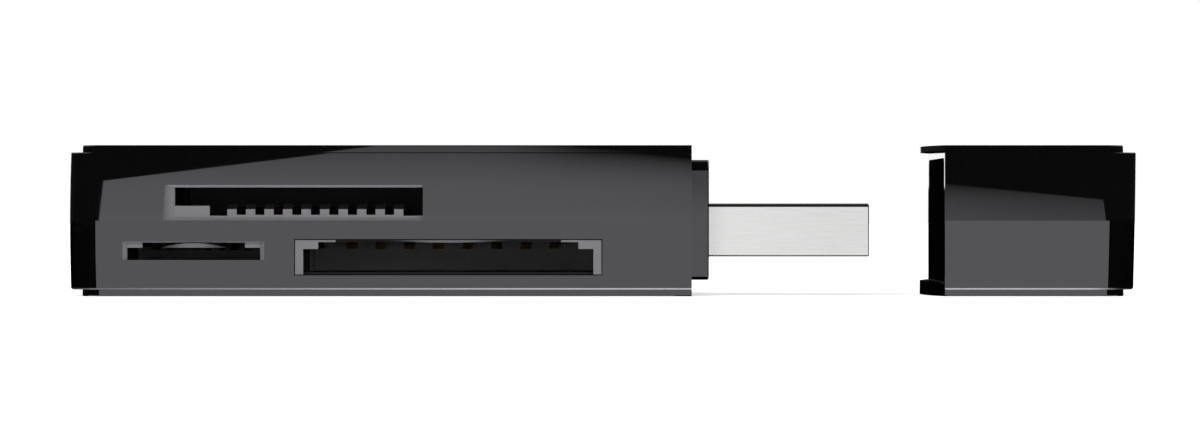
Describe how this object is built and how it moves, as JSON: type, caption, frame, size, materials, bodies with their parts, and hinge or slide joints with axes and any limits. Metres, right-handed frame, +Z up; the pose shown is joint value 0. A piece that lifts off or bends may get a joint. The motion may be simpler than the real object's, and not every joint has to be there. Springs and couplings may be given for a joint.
{
  "type": "usb memory card reader",
  "caption": "Flat stick-shaped memory card reader with card slots along one side, a plug at the end and a pull-off cap.",
  "frame": {"origin": "on the table, under the middle of the box around reader and cap", "axes": "+X along the stick from the closed end to the plug and the cap, +Y away from the card slots, +Z up"},
  "size_m": [0.0892, 0.028, 0.0126],
  "materials": {
    "gloss_black_shell": "smooth moulded, glossy black",
    "gloss_black_plate": "smooth moulded, glossy black",
    "socket_plastic": "satin moulded, dark grey",
    "tongue_plastic": "satin moulded, black",
    "chip_plastic": "fine matte moulded package",
    "board": "green solder mask over glass fibre",
    "nickel_plate": "bright nickel-plated folded sheet",
    "stainless_sheet": "rolled sheet, satin",
    "gold_contact": "gold-flashed copper alloy",
    "ceramic_block": "fired ceramic with tinned ends"
  },
  "bodies": {
    "reader": {"upper_shell": "gloss_black_shell", "lower_shell": "gloss_black_shell", "plug_collar": "gloss_black_shell", "top_cover_plate": "gloss_black_plate", "bottom_cover_plate": "gloss_black_plate", "plug_shell": "nickel_plate", "crystal": "nickel_plate", "plug_insulator": "tongue_plastic", "circuit_board": "board", "controller_chip": "chip_plastic", "regulator": "chip_plastic", "large_card_housing": "socket_plastic", "small_card_housing": "socket_plastic", "stick_card_housing": "socket_plastic", "large_card_shield": "stainless_sheet", "small_card_shield": "stainless_sheet", "stick_card_shield": "stainless_sheet", "plug_contact_1": "gold_contact", "plug_contact_2": "gold_contact", "plug_contact_3": "gold_contact", "plug_contact_4": "gold_contact", "large_card_contact_1": "gold_contact", "large_card_contact_2": "gold_contact", "large_card_contact_3": "gold_contact", "large_card_contact_4": "gold_contact", "large_card_contact_5": "gold_contact", "large_card_contact_6": "gold_contact", "large_card_contact_7": "gold_contact", "large_card_contact_8": "gold_contact", "small_card_contact_1": "gold_contact", "small_card_contact_2": "gold_contact", "small_card_contact_3": "gold_contact", "small_card_contact_4": "gold_contact", "small_card_contact_5": "gold_contact", "small_card_contact_6": "gold_contact", "small_card_contact_7": "gold_contact", "small_card_contact_8": "gold_contact", "stick_card_contact_1": "gold_contact", "stick_card_contact_2": "gold_contact", "stick_card_contact_3": "gold_contact", "stick_card_contact_4": "gold_contact", "stick_card_contact_5": "gold_contact", "stick_card_contact_6": "gold_contact", "stick_card_contact_7": "gold_contact", "stick_card_contact_8": "gold_contact", "stick_card_contact_9": "gold_contact", "stick_card_contact_10": "gold_contact", "capacitor_1": "ceramic_block", "capacitor_2": "ceramic_block", "capacitor_3": "ceramic_block", "resistor_1": "ceramic_block", "resistor_2": "ceramic_block"},
    "cap": {"cap_upper_shell": "gloss_black_shell", "cap_lower_shell": "gloss_black_shell", "cap_top_plate": "gloss_black_plate", "cap_bottom_plate": "gloss_black_plate"}
  },
  "joints": [
    {"name": "cap_slide", "type": "slide", "parent": "reader", "child": "cap", "axis": [1, 0, 0], "range_m": [-0.021, 0]}
  ]
}
